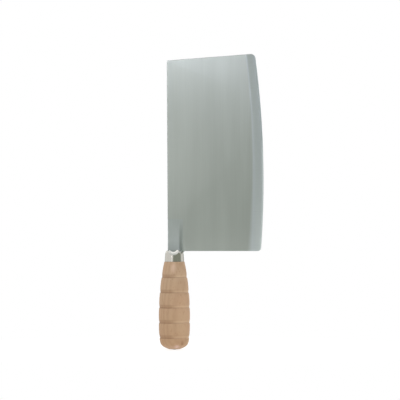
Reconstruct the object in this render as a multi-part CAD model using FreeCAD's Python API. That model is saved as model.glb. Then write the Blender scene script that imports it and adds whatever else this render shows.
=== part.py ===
import FreeCAD, Part
import math
import os

# A broad vegetable cleaver. The blade is a tapered steel plate. A forged neck with a stick tang is butt
# welded into the plate's notched corner. The neck seats in a scooped steel ferrule, and the tang runs
# through a turned wooden handle, set in cement, to a washer and a peened end at the butt.
# Millimetres. The origin is on the handle's axis, at the middle of the grip. +Z runs along the handle to
# the toe of the blade, +X points to the cutting edge, and the blade's faces look along -Y and +Y.

# Blade outline, seen along +Y. Heights are above the heel line.
BLADE_LENGTH = 210.2     # heel line to toe, at the cutting edge
BLADE_WIDTH = 102.0      # spine at the heel to the widest point of the edge
TOE_DROP = 7.3           # the toe is this much lower at the spine
SPINE_OFFSET = 7.0       # handle axis to the spine, at the heel
SPINE_LEAN = 1.1         # how much further out the spine is at the toe
EDGE_RADIUS = 995.0      # the cutting edge is one long arc
BELLY_HEIGHT = 74.5      # height of the widest point
TOE_CORNER = 5.0
HEEL_CORNER = 4.0
SPINE_CORNER = 2.0
HEEL_ROOT = 3.0          # fillet where the heel line runs into the neck

# Blade section. The faces are flat and taper both to the toe and to the edge.
SPINE_THICK_HEEL = 2.5
SPINE_THICK_TOE = 2.1
WEB_THICK = 1.8          # what the faces alone would leave at the heel's edge
BEVEL_ANGLE = 2.6        # degrees, each side, of the long ground bevel
SHOULDER_THICK = 0.7     # where the bevel meets the honed edge
HONE_WIDTH = 1.6         # the short honed bevel at the very edge
EDGE_THICK = 0.12        # flat left at the very edge
EDGE_EASE = 0.5          # rounding of the spine, toe and heel

# Neck and tang forging
NECK_LENGTH = 34.0       # heel line to where the neck fades into the plate
NECK_THICK = 9.0
NECK_CREST = 4.7         # handle axis to where the neck's side starts to fall
NECK_FOOT = 9.2          # handle axis to where it has come down to the plate
TANG_WIDTH = 8.0
TANG_THICK = 6.0
TAIL_DIAMETER = 5.0      # round end of the tang, through the butt
HEAD_DIAMETER = 8.0      # peened over the washer
HEAD_HEIGHT = 1.6

# Ferrule
FERRULE_SKIRT = 11.1     # handle shoulder to heel line
FERRULE_RISE = 1.3       # its top above the heel line
FERRULE_BASE_RADIUS = 10.3
FERRULE_TOP_RADIUS = 9.8
FERRULE_ROUND = 4.5      # rounding of its top edge
FERRULE_WALL = 1.3
SCOOP_RADIUS = 8.0       # hollow ground front and back, where the neck comes out
SCOOP_DEPTH = 4.2        # its lowest point, below the heel line
SCOOP_BITE = 1.2         # how far it opens the neck's slot
ROOF_WALL = 1.3          # metal left under the scoop
SLOT_CLEARANCE = 0.15    # neck and plate in the ferrule's slot
TENON_CLEARANCE = 0.1    # handle's tenon in the ferrule

# Handle
HANDLE_LENGTH = 94.0     # shoulder to butt
TOP_RADIUS = 10.7
BELLY_RADIUS = 16.5
BUTT_RADIUS = 14.6       # what the side would come to at the butt
BELLY_DEPTH = 62.0       # shoulder to the thickest point
SWELL_POWER = 2.2        # how the top flares into the belly
SHOULDER_ROUND = 0.8
BUTT_ROUND = 8.3
BUTT_DOME = 22.0
GROOVE_COUNT = 5
FIRST_GROOVE = 16.8      # shoulder to the first groove's crease
LAST_GROOVE = 12.8       # butt to the last groove's crease
GROOVE_DEPTH = 0.6
GROOVE_RAMP = 3.6        # the long side of a groove, above its crease
GROOVE_STEP = 0.8        # the short side, below it
BEAD_SWELL = 0.15        # how much each bead between grooves bulges

# Bore, cement and washer
CEMENT_WALL = 0.3        # cement at the tang's corners
BORE_FLOOR = 12.0        # wood left between the bore and the butt
TAIL_CLEARANCE = 0.2
WASHER_DIAMETER = 11.0
WASHER_THICK = 1.2
WASHER_CLEARANCE = 0.2

# Levels and places that follow from these
Z_BUTT = -HANDLE_LENGTH / 2
Z_SHOULDER = HANDLE_LENGTH / 2
Z_HEEL = Z_SHOULDER + FERRULE_SKIRT
Z_CEILING = Z_HEEL - SCOOP_DEPTH - ROOF_WALL
Z_NECK_TOP = Z_HEEL + NECK_LENGTH
Z_BORE_FLOOR = Z_BUTT + BORE_FLOOR
Z_WASHER_SEAT = Z_BUTT + HEAD_HEIGHT + WASHER_THICK
EDGE_CENTRE_X = BLADE_WIDTH - SPINE_OFFSET - EDGE_RADIUS
EDGE_CENTRE_Z = Z_HEEL + BELLY_HEIGHT
BORE_RADIUS = math.hypot(TANG_WIDTH, TANG_THICK) / 2 + CEMENT_WALL
FERRULE_BORE = FERRULE_TOP_RADIUS - FERRULE_WALL
TENON_RADIUS = FERRULE_BORE - TENON_CLEARANCE
MARGIN = 10.0            # how far cutting bodies run past what they cut
WHOLE = 2 * (BLADE_LENGTH + HANDLE_LENGTH)
NECK_STATIONS = 6        # sections that the neck's sweep is lofted through
SAME_PLACE = 1e-3        # points closer than this are one corner

X_AXIS = FreeCAD.Vector(1, 0, 0)
Y_AXIS = FreeCAD.Vector(0, 1, 0)
Z_AXIS = FreeCAD.Vector(0, 0, 1)


def point(x, y, z):
    return FreeCAD.Vector(x, y, z)


def line(a, b):
    return Part.LineSegment(a, b).toShape()


def arc(a, through, b):
    return Part.Arc(a, through, b).toShape()


def face_of(edges):
    return Part.Face(Part.Wire(edges))


def solid_of_points(low, high):
    """The six-sided solid between two quads, each given as four points in the same order round."""
    faces = [Part.Face(Part.makePolygon(quad + quad[:1])) for quad in (low, high)]
    for i in range(4):
        j = (i + 1) % 4
        faces.append(Part.Face(Part.makePolygon([low[i], low[j], high[j], high[i], low[i]])))
    return Part.Solid(Part.Shell(faces))


# Blade
def spine_x(z):
    return -SPINE_OFFSET - SPINE_LEAN * (z - Z_HEEL) / (BLADE_LENGTH - TOE_DROP)


def edge_x(z):
    return EDGE_CENTRE_X + math.sqrt(EDGE_RADIUS ** 2 - (z - EDGE_CENTRE_Z) ** 2)


def half_thickness(x, z):
    """Half the plate's thickness between its two flat faces."""
    to_edge = (WEB_THICK - SPINE_THICK_HEEL) / (edge_x(Z_HEEL) + SPINE_OFFSET)
    to_toe = (SPINE_THICK_TOE - SPINE_THICK_HEEL) / (BLADE_LENGTH - TOE_DROP)
    return (SPINE_THICK_HEEL + to_edge * (x + SPINE_OFFSET) + to_toe * (z - Z_HEEL)) / 2


NECK_ROOT_HALF = half_thickness(NECK_FOOT, Z_HEEL + NECK_LENGTH / 2)


def blade_outline():
    """The plate's outline in the plane y = 0, with its corners still sharp, and those corners."""
    toe_spine = point(spine_x(Z_HEEL + BLADE_LENGTH - TOE_DROP), 0, Z_HEEL + BLADE_LENGTH - TOE_DROP)
    toe_edge = point(edge_x(Z_HEEL + BLADE_LENGTH), 0, Z_HEEL + BLADE_LENGTH)
    heel_edge = point(edge_x(Z_HEEL), 0, Z_HEEL)
    notch_spine = point(spine_x(Z_NECK_TOP), 0, Z_NECK_TOP)
    notch_inner = point(NECK_FOOT, 0, Z_NECK_TOP)
    notch_low = point(NECK_FOOT, 0, Z_HEEL - HEEL_ROOT)
    heel_start = point(NECK_FOOT + HEEL_ROOT, 0, Z_HEEL)
    edge_middle_z = Z_HEEL + BLADE_LENGTH / 2
    turn = HEEL_ROOT * math.sqrt(0.5)
    root_middle = point(NECK_FOOT + HEEL_ROOT - turn, 0, Z_HEEL - HEEL_ROOT + turn)
    edges = [
        line(notch_low, notch_inner),
        line(notch_inner, notch_spine),
        line(notch_spine, toe_spine),
        line(toe_spine, toe_edge),
        arc(toe_edge, point(edge_x(edge_middle_z), 0, edge_middle_z), heel_edge),
        line(heel_edge, heel_start),
        arc(heel_start, root_middle, notch_low),
    ]
    corners = [(toe_spine, SPINE_CORNER), (toe_edge, TOE_CORNER), (heel_edge, HEEL_CORNER)]
    return edges, corners


def taper_body():
    """The space between the two flat faces, run past the outline all round."""
    left, right = -SPINE_OFFSET - SPINE_LEAN - MARGIN, BLADE_WIDTH + MARGIN
    low, high = Z_HEEL - HEEL_ROOT - MARGIN, Z_HEEL + BLADE_LENGTH + MARGIN
    corners = [(left, low), (right, low), (right, high), (left, high)]
    front = [point(x, -half_thickness(x, z), z) for x, z in corners]
    back = [point(x, half_thickness(x, z), z) for x, z in corners]
    return solid_of_points(front, back)


def bevel_body():
    """A disc about the edge arc's centre whose rim carries the ground bevel and the honed edge. The rim
    runs out past the plate's own edge until it is sharp, so the outline alone cuts the edge."""
    slope = math.tan(math.radians(BEVEL_ANGLE))
    rim, shoulder = SPINE_THICK_HEEL, SHOULDER_THICK / 2
    sharp = EDGE_RADIUS + HONE_WIDTH * EDGE_THICK / (SHOULDER_THICK - EDGE_THICK)
    full = EDGE_RADIUS - HONE_WIDTH - (rim - shoulder) / slope
    half = [(EDGE_RADIUS - HONE_WIDTH, shoulder), (full, rim), (0, rim)]
    around = [(sharp, 0)] + [(r, y) for r, y in half] + [(r, -y) for r, y in reversed(half)]
    points = [point(EDGE_CENTRE_X + r, y, EDGE_CENTRE_Z) for r, y in around]
    profile = Part.Face(Part.makePolygon(points + points[:1]))
    return profile.revolve(point(EDGE_CENTRE_X, 0, EDGE_CENTRE_Z), Y_AXIS, 360)


def edges_through(shape, place):
    """The edges of a prism along Y that stand at one corner of its outline."""
    near = []
    for edge in shape.Edges:
        ends = [v.Point for v in edge.Vertexes]
        if all(math.hypot(p.x - place.x, p.z - place.z) < SAME_PLACE for p in ends):
            near.append(edge)
    return near


def eased_edges(shape):
    """The outline's edges on both faces, other than those of the notch that the neck fills."""
    chosen = []
    for edge in shape.Edges:
        middle = edge.valueAt((edge.FirstParameter + edge.LastParameter) / 2)
        across = abs(edge.Vertexes[0].Point.y - edge.Vertexes[-1].Point.y) > SPINE_THICK_TOE / 2
        on_notch = middle.x < NECK_FOOT + SAME_PLACE and middle.z < Z_NECK_TOP + SAME_PLACE
        if not across and not on_notch:
            chosen.append(edge)
    return chosen


def make_blade():
    edges, corners = blade_outline()
    plate = face_of(edges).extrude(Y_AXIS * 4 * SPINE_THICK_HEEL)
    plate.translate(Y_AXIS * -2 * SPINE_THICK_HEEL)
    for place, radius in corners:
        plate = plate.makeFillet(radius, edges_through(plate, place))
    plate = plate.common(taper_body())
    plate = plate.makeFillet(EDGE_EASE, eased_edges(plate))
    return plate.common(bevel_body())


# Neck and tang
def neck_wire(z, rise, clearance=0.0):
    """The neck's section at one height: a flat face on each side that stands rise above the plate, with
    rounded corners along the spine and a smooth fall to the plate on the other side."""
    left = spine_x(z) - clearance
    foot = NECK_FOOT + clearance
    root = NECK_ROOT_HALF + clearance
    top = root + rise
    middle = (NECK_CREST + NECK_FOOT) / 2
    corner = EDGE_EASE + clearance
    turn = corner * (1 - math.sqrt(0.5))
    edges = []
    for side in (1, -1):
        fall = Part.BezierCurve()
        fall.setPoles([
            point(NECK_CREST + clearance, side * top, z),
            point(middle + clearance, side * top, z),
            point(middle + clearance, side * root, z),
            point(foot, side * root, z),
        ])
        half = [
            line(point(left, 0, z), point(left, side * (top - corner), z)),
            arc(
                point(left, side * (top - corner), z),
                point(left + turn, side * (top - turn), z),
                point(left + corner, side * top, z),
            ),
            line(point(left + corner, side * top, z), point(NECK_CREST + clearance, side * top, z)),
            fall.toShape(),
            line(point(foot, side * root, z), point(foot, 0, z)),
        ]
        edges += half if side > 0 else half[::-1]
    return Part.Wire(edges)


def neck_rise(z):
    """How far the neck's face stands above the plate: a sweep that fades out at the neck's top."""
    full = NECK_THICK / 2 - NECK_ROOT_HALF
    left = min(1.0, (Z_NECK_TOP - z) / (Z_NECK_TOP - Z_HEEL - FERRULE_RISE))
    return full * left ** 2


def make_neck_tang():
    foot_z = Z_HEEL + FERRULE_RISE
    pitch = (Z_NECK_TOP - foot_z) / (NECK_STATIONS - 1)
    heights = [foot_z + pitch * i for i in range(NECK_STATIONS)]
    swept = Part.makeLoft([neck_wire(z, neck_rise(z)) for z in heights], True)
    shank = Part.makeLoft([neck_wire(z, neck_rise(z)) for z in (Z_CEILING, foot_z)], True, True)
    tang = Part.makeBox(
        TANG_WIDTH, TANG_THICK, Z_CEILING - Z_BORE_FLOOR,
        point(-TANG_WIDTH / 2, -TANG_THICK / 2, Z_BORE_FLOOR),
    )
    z_head = Z_WASHER_SEAT - WASHER_THICK
    tail = Part.makeCylinder(TAIL_DIAMETER / 2, Z_BORE_FLOOR - z_head, point(0, 0, z_head))
    ball = ((HEAD_DIAMETER / 2) ** 2 + HEAD_HEIGHT ** 2) / (2 * HEAD_HEIGHT)
    under_washer = Part.makeBox(WHOLE, WHOLE, WHOLE, point(-WHOLE / 2, -WHOLE / 2, z_head - WHOLE))
    head = Part.makeSphere(ball, point(0, 0, z_head - HEAD_HEIGHT + ball)).common(under_washer)
    return swept.fuse([shank, tang, tail, head]).removeSplitter()


# Ferrule
def scoop(side):
    """The ball that hollows the ferrule's mouth, in front of the neck (-1) or behind it (1)."""
    reach = NECK_THICK / 2 + SCOOP_RADIUS - SCOOP_BITE
    drop = math.sqrt(SCOOP_RADIUS ** 2 - (reach - FERRULE_TOP_RADIUS) ** 2)
    neck_middle = (NECK_CREST - SPINE_OFFSET) / 2
    return Part.makeSphere(SCOOP_RADIUS, point(neck_middle, side * reach, Z_HEEL - SCOOP_DEPTH + drop))


def make_ferrule():
    z_top = Z_HEEL + FERRULE_RISE
    z_round = z_top - FERRULE_ROUND
    turn = FERRULE_ROUND * math.sqrt(0.5)
    inner = FERRULE_TOP_RADIUS - FERRULE_ROUND
    profile = face_of([
        line(point(0, 0, Z_SHOULDER), point(FERRULE_BASE_RADIUS, 0, Z_SHOULDER)),
        line(point(FERRULE_BASE_RADIUS, 0, Z_SHOULDER), point(FERRULE_TOP_RADIUS, 0, z_round)),
        arc(
            point(FERRULE_TOP_RADIUS, 0, z_round),
            point(inner + turn, 0, z_round + turn),
            point(inner, 0, z_top),
        ),
        line(point(inner, 0, z_top), point(0, 0, z_top)),
        line(point(0, 0, z_top), point(0, 0, Z_SHOULDER)),
    ])
    body = profile.revolve(point(0, 0, 0), Z_AXIS, 360)
    socket = Part.makeCylinder(FERRULE_BORE, Z_CEILING - Z_SHOULDER, point(0, 0, Z_SHOULDER))
    slot_ends = (Z_CEILING - MARGIN, z_top + MARGIN)
    slot = Part.makeLoft([neck_wire(z, neck_rise(Z_HEEL), SLOT_CLEARANCE) for z in slot_ends], True, True)
    slit_half = NECK_ROOT_HALF + SLOT_CLEARANCE
    slit = Part.makeBox(
        WHOLE, 2 * slit_half, WHOLE,
        point(NECK_CREST, -slit_half, Z_HEEL - HEEL_ROOT - SLOT_CLEARANCE),
    )
    return body.cut([socket, slot, slit, scoop(-1), scoop(1)])


# Handle
def grip_radius(depth):
    """The handle's radius, grooves apart, at a depth below its shoulder."""
    if depth < BELLY_DEPTH:
        return BELLY_RADIUS - (BELLY_RADIUS - TOP_RADIUS) * (1 - depth / BELLY_DEPTH) ** SWELL_POWER
    past = (depth - BELLY_DEPTH) / (HANDLE_LENGTH - BELLY_DEPTH)
    return BELLY_RADIUS - (BELLY_RADIUS - BUTT_RADIUS) * past ** 2


def groove_depths():
    pitch = (HANDLE_LENGTH - FIRST_GROOVE - LAST_GROOVE) / (GROOVE_COUNT - 1)
    return [FIRST_GROOVE + pitch * i for i in range(GROOVE_COUNT)]


def on_grip(depth, sunk=0.0):
    return point(grip_radius(depth) - sunk, 0, Z_SHOULDER - depth)


def bead(start, end):
    middle = (start + end) / 2
    return arc(on_grip(start), on_grip(middle, -BEAD_SWELL), on_grip(end))


def butt_edges(start):
    """The rounded butt, from the last groove to the apex: a straight run, a round and a shallow dome."""
    radius = grip_radius(HANDLE_LENGTH - BUTT_ROUND)
    dome_z = Z_BUTT + BUTT_DOME
    over, gap = radius - BUTT_ROUND, BUTT_DOME - BUTT_ROUND
    round_z = dome_z - math.sqrt(gap ** 2 - over ** 2)
    share = FreeCAD.Vector(over, 0, round_z - dome_z) * (1 / gap)
    side = point(radius, 0, round_z)
    meet = point(0, 0, dome_z) + share * BUTT_DOME
    halfway = (share + X_AXIS).normalize() * BUTT_ROUND + point(over, 0, round_z)
    on_dome = (share - Z_AXIS).normalize() * BUTT_DOME + point(0, 0, dome_z)
    apex = point(0, 0, Z_BUTT)
    return [line(on_grip(start), side), arc(side, halfway, meet), arc(meet, on_dome, apex)]


def handle_profile():
    tenon_top = point(TENON_RADIUS, 0, Z_CEILING)
    tenon_foot = point(TENON_RADIUS, 0, Z_SHOULDER)
    shoulder = point(grip_radius(SHOULDER_ROUND) - SHOULDER_ROUND, 0, Z_SHOULDER)
    turn = SHOULDER_ROUND * (1 - math.sqrt(0.5))
    edges = [
        line(point(0, 0, Z_CEILING), tenon_top),
        line(tenon_top, tenon_foot),
        line(tenon_foot, shoulder),
        arc(shoulder, on_grip(turn, turn + grip_radius(turn) - grip_radius(SHOULDER_ROUND)),
            on_grip(SHOULDER_ROUND)),
    ]
    start = SHOULDER_ROUND
    for crease in groove_depths():
        edges += [
            bead(start, crease - GROOVE_RAMP),
            line(on_grip(crease - GROOVE_RAMP), on_grip(crease, GROOVE_DEPTH)),
            line(on_grip(crease, GROOVE_DEPTH), on_grip(crease + GROOVE_STEP)),
        ]
        start = crease + GROOVE_STEP
    edges += butt_edges(start)
    edges.append(line(point(0, 0, Z_BUTT), point(0, 0, Z_CEILING)))
    return face_of(edges)


def bore():
    return Part.makeCylinder(BORE_RADIUS, Z_CEILING - Z_BORE_FLOOR, point(0, 0, Z_BORE_FLOOR))


def make_handle():
    turned = handle_profile().revolve(point(0, 0, 0), Z_AXIS, 360)
    tail_hole = Part.makeCylinder(TAIL_DIAMETER / 2 + TAIL_CLEARANCE, BORE_FLOOR, point(0, 0, Z_BUTT))
    seat_radius = WASHER_DIAMETER / 2 + WASHER_CLEARANCE
    seat = Part.makeCylinder(seat_radius, Z_WASHER_SEAT - Z_BUTT + MARGIN, point(0, 0, Z_BUTT - MARGIN))
    return turned.cut([bore(), tail_hole, seat])


# Cement and washer
def make_cement(neck_tang):
    return bore().cut(neck_tang)


def make_washer():
    z = Z_WASHER_SEAT - WASHER_THICK
    ring = Part.makeCylinder(WASHER_DIAMETER / 2, WASHER_THICK, point(0, 0, z))
    return ring.cut(Part.makeCylinder(TAIL_DIAMETER / 2 + TAIL_CLEARANCE, WASHER_THICK, point(0, 0, z)))


def main():
    os.makedirs("parts", exist_ok=True)
    neck_tang = make_neck_tang()
    pieces = {
        "blade_plate": make_blade(),
        "neck_tang": neck_tang,
        "ferrule": make_ferrule(),
        "handle": make_handle(),
        "tang_cement": make_cement(neck_tang),
        "butt_washer": make_washer(),
    }
    for name, shape in pieces.items():
        box = shape.BoundBox
        print(f"{name}: {len(shape.Solids)} solid, valid {shape.isValid()}, {shape.Volume:.1f} mm3, "
              f"{box.XLength:.2f} x {box.YLength:.2f} x {box.ZLength:.2f} mm")
        shape.exportStep(f"parts/{name}.step")


main()
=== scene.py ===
# %% [markdown]
# # A broad kitchen cleaver, dressed for the camera
#
# The cleaver was built as solids first: a tapered steel plate, a forged neck with its tang, a scooped
# ferrule, a turned handle, the cement round the tang and a washer at the butt. Blender takes those solids
# as a fixed frame, in metres, and adds what the eye needs: the grind on the steel, the polish on the
# ferrule, the grain in the wood, and a quiet studio. Nothing is moved, so each piece already sits where it
# belongs, and the box that the solids fill is measured and printed.

# %% Load the frame
import itertools
import math

import bmesh
import bpy
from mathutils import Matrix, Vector


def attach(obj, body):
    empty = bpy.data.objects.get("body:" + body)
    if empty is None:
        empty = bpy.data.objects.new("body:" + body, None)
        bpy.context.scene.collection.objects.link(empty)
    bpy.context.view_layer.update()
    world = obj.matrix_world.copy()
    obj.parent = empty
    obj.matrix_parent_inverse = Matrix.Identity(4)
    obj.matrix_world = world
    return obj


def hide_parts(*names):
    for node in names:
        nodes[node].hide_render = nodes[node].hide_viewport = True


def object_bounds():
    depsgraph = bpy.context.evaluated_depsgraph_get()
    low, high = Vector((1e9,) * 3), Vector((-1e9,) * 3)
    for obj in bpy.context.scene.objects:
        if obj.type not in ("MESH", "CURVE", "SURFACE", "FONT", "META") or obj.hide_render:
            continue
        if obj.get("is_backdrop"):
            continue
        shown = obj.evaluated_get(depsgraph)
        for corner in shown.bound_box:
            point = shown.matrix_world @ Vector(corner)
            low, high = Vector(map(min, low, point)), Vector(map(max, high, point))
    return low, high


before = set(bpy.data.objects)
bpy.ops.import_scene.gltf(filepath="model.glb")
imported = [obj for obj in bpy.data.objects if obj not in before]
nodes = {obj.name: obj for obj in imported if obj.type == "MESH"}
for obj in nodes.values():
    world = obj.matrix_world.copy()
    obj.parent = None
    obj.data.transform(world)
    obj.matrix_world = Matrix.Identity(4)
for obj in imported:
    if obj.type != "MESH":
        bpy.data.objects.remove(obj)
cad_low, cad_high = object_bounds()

MM = 0.001
print("solids:", ", ".join(sorted(nodes)))
print("box, mm:", [round(v / MM, 1) for v in cad_high - cad_low])

# %% [markdown]
# ## Three helpers
#
# Every material and every Geometry Nodes tree below is a set of nodes with values and links, so one small
# function is enough to add any of them: it makes the node, gives it its settings, and fills each input with
# a value, a socket, or another node's first output. Inputs go by name or, where names repeat, by number: a
# Mix node's two floats are 2 and 3, its two colours 6 and 7, and its colour comes out at 2. Colours are
# written as the sRGB hex that a colour picker shows. Shaders calculate with light, not with screen values, so
# a second function makes them linear. The third starts a material with an empty tree.

# %% Helpers
def add(tree, kind, inputs=None, **settings):
    node = tree.nodes.new(kind)
    for name, value in settings.items():
        setattr(node, name, value)
    for key, value in (inputs or {}).items():
        source = value.outputs[0] if isinstance(value, bpy.types.Node) else value
        if isinstance(source, bpy.types.NodeSocket):
            tree.links.new(source, node.inputs[key])
        else:
            node.inputs[key].default_value = source
    return node


def linear(hex_colour):
    channels = [int(hex_colour[i:i + 2], 16) / 255 for i in (1, 3, 5)]
    return [c / 12.92 if c <= 0.04045 else ((c + 0.055) / 1.055) ** 2.4 for c in channels] + [1.0]


def new_material(name):
    material = bpy.data.materials.new(name)
    material.use_nodes = True
    material.node_tree.nodes.clear()
    return material, material.node_tree


MATH = "ShaderNodeMath"
VECTOR_MATH = "ShaderNodeVectorMath"
MAP_RANGE = "ShaderNodeMapRange"
NOISE = "ShaderNodeTexNoise"
MAPPING = "ShaderNodeMapping"
MIX = "ShaderNodeMix"
BUMP = "ShaderNodeBump"
COORDINATES = "ShaderNodeTexCoord"
SEPARATE = "ShaderNodeSeparateXYZ"
COMBINE = "ShaderNodeCombineXYZ"
ATTRIBUTE = "ShaderNodeAttribute"
PRINCIPLED = "ShaderNodeBsdfPrincipled"
MIX_SHADER = "ShaderNodeMixShader"
OUTPUT = "ShaderNodeOutputMaterial"
print("white is", [round(c, 2) for c in linear("#ffffff")])

# %% [markdown]
# ## Ground steel
#
# The plate is rolled carbon steel, ground on a belt along its length and left satin. That gives the eye a
# soft, slightly greenish grey, with faint streaks that run from heel to toe. The long bevel is ground later,
# square to the edge, so its lines cross the others. Lines blur a reflection across themselves, which is what
# the shader's anisotropy does: on the face a light spreads sideways, and on the bevel, with the direction
# turned a quarter, it spreads up and down. That is why the bevel is darker than the face at the toe and
# lighter at the heel. Real grinding lines are about 0.1 mm apart, a tenth of a pixel here, so they are drawn
# a millimetre or so apart to show at all. Every ground surface has the same make, lines, broad bands and a
# little relief, so one function gives the shader and each finish is a set of values for it. Lines and bands
# are noise that is stretched to a real size. Noise seldom leaves the middle of its range, so only that span
# of it is used.

# %% Ground steel
ALONG_BLADE = (1.2 * MM, 1.2 * MM, 70 * MM)
ACROSS_EDGE = (30 * MM, 30 * MM, 1.4 * MM)
BROAD_BANDS = (16 * MM, 16 * MM, 150 * MM)
BAND_SHARE = 0.6
NOISE_SPAN = {"From Min": 0.3, "From Max": 0.7}
ROUGH_VARIES = 0.02
GRIND_RELIEF, GRIND_STRENGTH = 0.02 * MM, 0.25
GRIND_SWEEP = 0.55
QUARTER_TURN = 0.25


def streaks(tree, place, size, **look):
    stretched = add(tree, MAPPING, {"Vector": place, "Scale": [1 / length for length in size]})
    return add(tree, NOISE, {"Vector": stretched, "Scale": 1.0, **look})


def ground_shader(tree, dark, light, line_size, rough, sweep=GRIND_SWEEP, turn=0.0):
    place = add(tree, COORDINATES).outputs["Object"]
    lines = streaks(tree, place, line_size, Detail=3.0, Roughness=0.6)
    bands = streaks(tree, place, BROAD_BANDS, Detail=1.0)
    tone = add(tree, MIX, {"Factor": BAND_SHARE, 2: lines, 3: bands}, data_type="FLOAT")
    spread = add(tree, MAP_RANGE, {"Value": tone, **NOISE_SPAN})
    colour = add(tree, MIX, {"Factor": spread, 6: linear(dark), 7: linear(light)}, data_type="RGBA")
    roughness = add(tree, MAP_RANGE, {
        "Value": lines, **NOISE_SPAN, "To Min": rough - ROUGH_VARIES, "To Max": rough + ROUGH_VARIES})
    relief = add(tree, BUMP, {"Height": lines, "Strength": GRIND_STRENGTH, "Distance": GRIND_RELIEF})
    return add(tree, PRINCIPLED, {
        "Base Color": colour.outputs[2], "Metallic": 1.0, "Roughness": roughness, "Normal": relief,
        "Anisotropic": sweep, "Anisotropic Rotation": turn})


def ground_steel(name, grind):
    material, tree = new_material(name)
    add(tree, OUTPUT, {"Surface": ground_shader(tree, **grind)})
    return material


FACE_GRIND = {"dark": "#b5bab7", "light": "#bfc4c1", "line_size": ALONG_BLADE, "rough": 0.38}
BEVEL_GRIND = {"dark": "#cad0d2", "light": "#d3d9db", "line_size": ACROSS_EDGE, "rough": 0.36,
               "turn": QUARTER_TURN}
# The narrow edges are linished, and their colour is painted darker than the face: painted shade.
EDGE_GRIND_PAINTED_DARK = {"dark": "#969d9b", "light": "#a0a6a4", "line_size": ALONG_BLADE, "rough": 0.5}
face_steel = ground_steel("Carbon_steel_belt_ground_satin", FACE_GRIND)
bevel_steel = ground_steel("Carbon_steel_bevel_cross_ground", BEVEL_GRIND)
edge_steel_painted_dark = ground_steel("Carbon_steel_edges_linished_painted_dark", EDGE_GRIND_PAINTED_DARK)
print("plain steels:", face_steel.name, bevel_steel.name, edge_steel_painted_dark.name)

# %% [markdown]
# The border of face and bevel is soft. The wheel rides up onto the face there and leaves a rubbed strip whose
# lines have no one direction, and that strip catches the light. Two Mix Shaders run from the face's finish to
# the rubbed one and on to the bevel's. How far down the bevel a point lies, from 0 to 1, is an attribute that
# the blade's mesh gets further on, because only the mesh knows where the bevel starts. The strip is narrow at
# the toe and wide at the heel, so the way down is multiplied by a pace that grows with height.

# %% Shoulder of the bevel
RUBBED_GRIND = {"dark": "#cbd1d6", "light": "#d4d9de", "line_size": ACROSS_EDGE, "rough": 0.38, "sweep": 0.0}
RUBBED_AT, BEVEL_AT = 0.17, 0.4
HEEL_PACE, TOE_PACE = 0.45, 1.7
SHOULDER_END = BEVEL_AT / HEEL_PACE
Z_HEEL, Z_TOE = 58 * MM, 265 * MM

shoulder_steel, tree = new_material("Carbon_steel_shoulder_blended")
down = add(tree, ATTRIBUTE, attribute_name="way_down").outputs["Fac"]
height = add(tree, SEPARATE, {0: add(tree, COORDINATES).outputs["Object"]}).outputs["Z"]
pace = add(tree, MAP_RANGE, {
    "Value": height, "From Min": Z_HEEL, "From Max": Z_TOE, "To Min": HEEL_PACE, "To Max": TOE_PACE})
way = add(tree, MATH, {0: down, 1: pace}, operation="MULTIPLY")
finish = ground_shader(tree, **FACE_GRIND)
for grind, begin, full in ((RUBBED_GRIND, 0.0, RUBBED_AT), (BEVEL_GRIND, RUBBED_AT, BEVEL_AT)):
    share = add(tree, MAP_RANGE, {"Value": way, "From Min": begin, "From Max": full})
    finish = add(tree, MIX_SHADER, {0: share, 1: finish, 2: ground_shader(tree, **grind)})
add(tree, OUTPUT, {"Surface": finish})
print("shoulder:", shoulder_steel.name, "ends", round(SHOULDER_END, 2), "of the way down at the heel")

# %% [markdown]
# The hone is the narrow strip at the very edge, scratched every way by a stone, so it blurs reflections
# alike in all directions. Its lower half, towards the heel, is painted paler, a painted highlight, and it
# turns duller towards the toe. To lay one colour over another, a function takes what feeds the shader's
# colour from its socket, mixes it with the new one and puts it back.

# %% Honed edge
HONE_GRIND = {"dark": "#b3bbbb", "light": "#bdc5c5", "line_size": ACROSS_EDGE, "rough": 0.7, "sweep": 0.0}
HONE_PAINTED_HIGHLIGHT = "#d2d9d8"
Z_HONE_HIGHLIGHT, HONE_HIGHLIGHT_FADE = 170 * MM, 10 * MM


def lay_over(tree, shader, share, colour):
    under = shader.inputs["Base Color"].links[0].from_socket
    mixed = add(tree, MIX, {"Factor": share, 6: under, 7: linear(colour)}, data_type="RGBA")
    tree.links.new(mixed.outputs[2], shader.inputs["Base Color"])


honed_steel, tree = new_material("Carbon_steel_edge_honed")
shader = ground_shader(tree, **HONE_GRIND)
height = add(tree, SEPARATE, {0: add(tree, COORDINATES).outputs["Object"]}).outputs["Z"]
# Below this height the hone is painted paler: a painted highlight.
bright = add(tree, MAP_RANGE, {
    "Value": height, "From Min": Z_HONE_HIGHLIGHT + HONE_HIGHLIGHT_FADE, "From Max": Z_HONE_HIGHLIGHT - HONE_HIGHLIGHT_FADE},
    interpolation_type="SMOOTHSTEP")
lay_over(tree, shader, bright, HONE_PAINTED_HIGHLIGHT)
add(tree, OUTPUT, {"Surface": shader})
print("hone:", honed_steel.name, "bright below", round(Z_HONE_HIGHLIGHT / MM), "mm")

# %% [markdown]
# ## The neck
#
# The neck is forged, then ground on the same belt. In the corner beside the plate, and right down at the
# ferrule, its steel is painted darker: painted shade in the crease and at the foot. At its other end the
# tang comes through the washer and is peened, which leaves small round hammer facets. Voronoi cells with
# soft borders have that shape. They are a second bump, which only works on the head.

# %% Neck and tang
NECK_GRIND = {"dark": "#b5bbbb", "light": "#bfc5c5", "line_size": ALONG_BLADE, "rough": 0.38}
NECK_SHADE_COLOUR = "#656c6a"
CORNER_SHADE, FOOT_SHADE = 0.12, 0.3
X_CORNER, CORNER_REACH = 7.0 * MM, 2.9 * MM
Z_FOOT, Z_FOOT_TOP, Z_CORNER_TOP = 58 * MM, 69 * MM, 88 * MM
PEEN_FACET, PEEN_RELIEF = 1.8 * MM, 0.25 * MM
Z_PEENED = -44.0 * MM

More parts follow.
